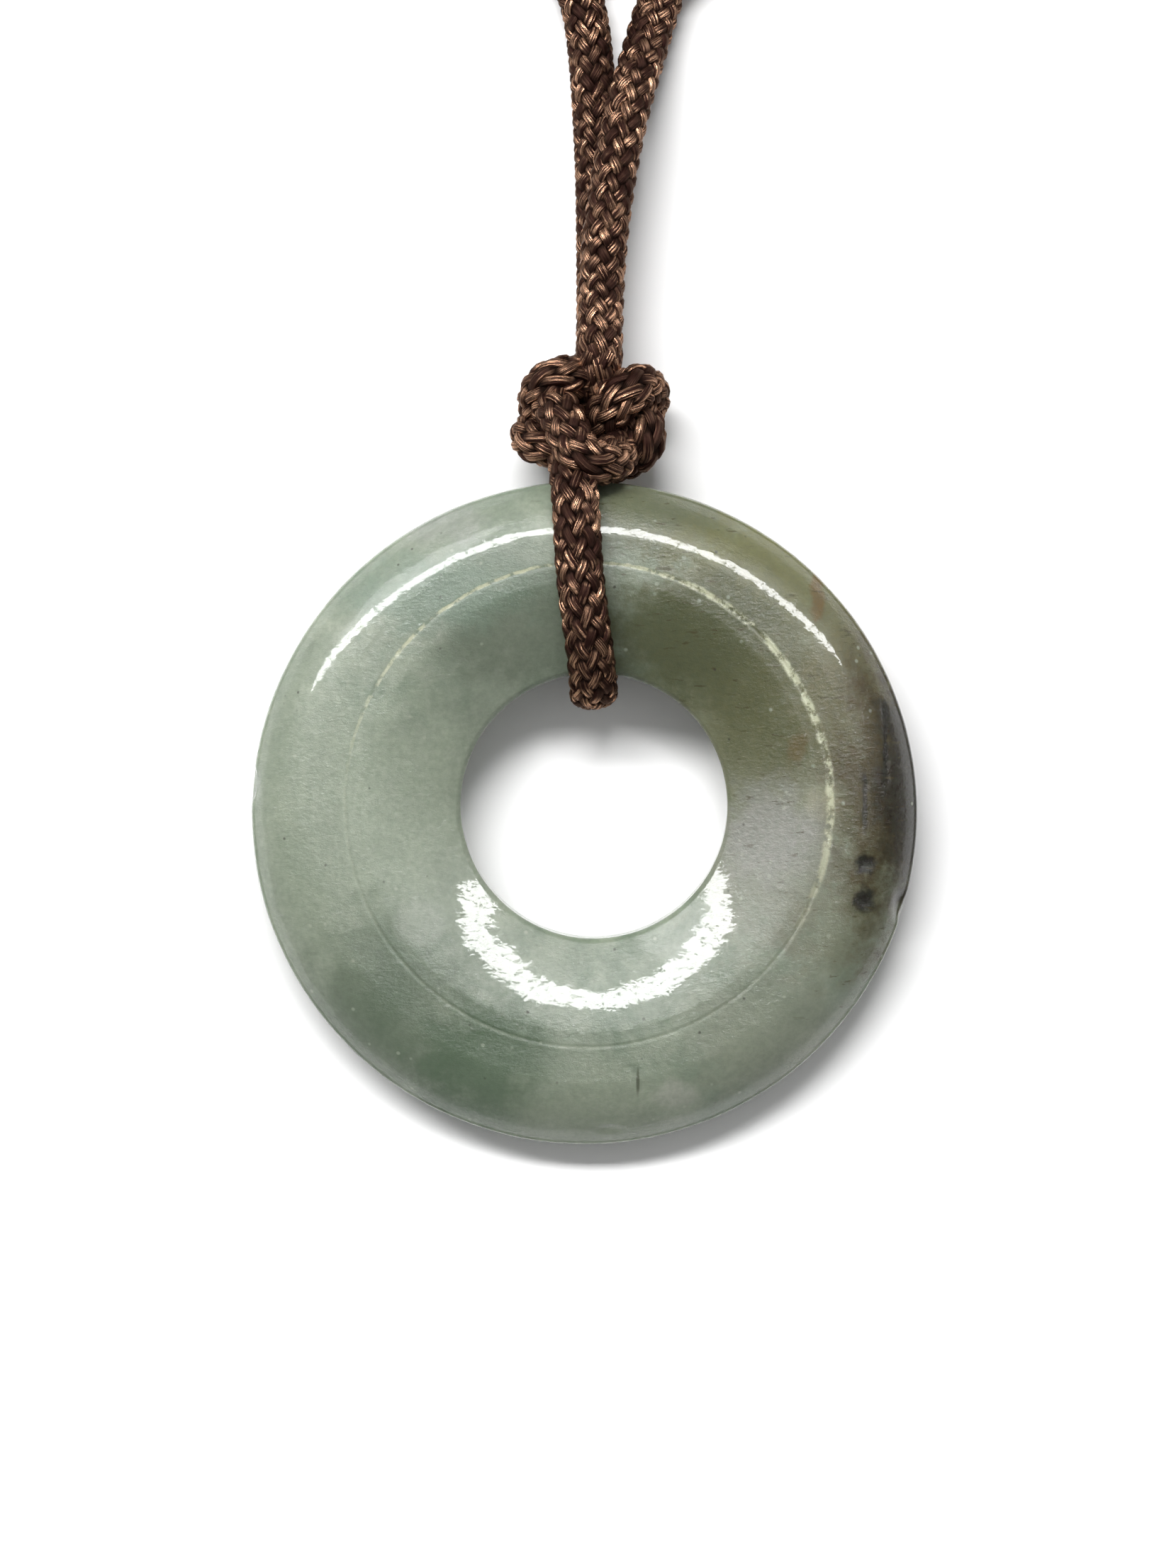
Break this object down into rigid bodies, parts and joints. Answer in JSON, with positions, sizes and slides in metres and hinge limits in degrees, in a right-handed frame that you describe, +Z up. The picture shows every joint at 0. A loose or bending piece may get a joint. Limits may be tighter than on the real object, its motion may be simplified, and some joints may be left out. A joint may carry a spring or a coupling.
{
  "type": "jade ring pendant",
  "caption": "Polished jade ring pendant with an off-centre hole, hung by a knotted braided cord whose necklace is wound in a coil.",
  "frame": {"origin": "centre of the ring's underside, on the ground that it lies on", "axes": "+Z up, +Y from the ring to the knot, +X to the right seen from above"},
  "size_m": [0.0444, 0.1175, 0.0109],
  "materials": {
    "jade": "polished, translucent, mottled celadon green with brown skin at one edge",
    "cord": "tightly braided dark red-brown yarn with coppery glints"
  },
  "bodies": {
    "root": {"jade_disc": "jade", "cord_bail": "cord", "cord_knot": "cord", "cord_strand_left": "cord", "cord_strand_right": "cord", "cord_coil": "cord"}
  },
  "joints": []
}
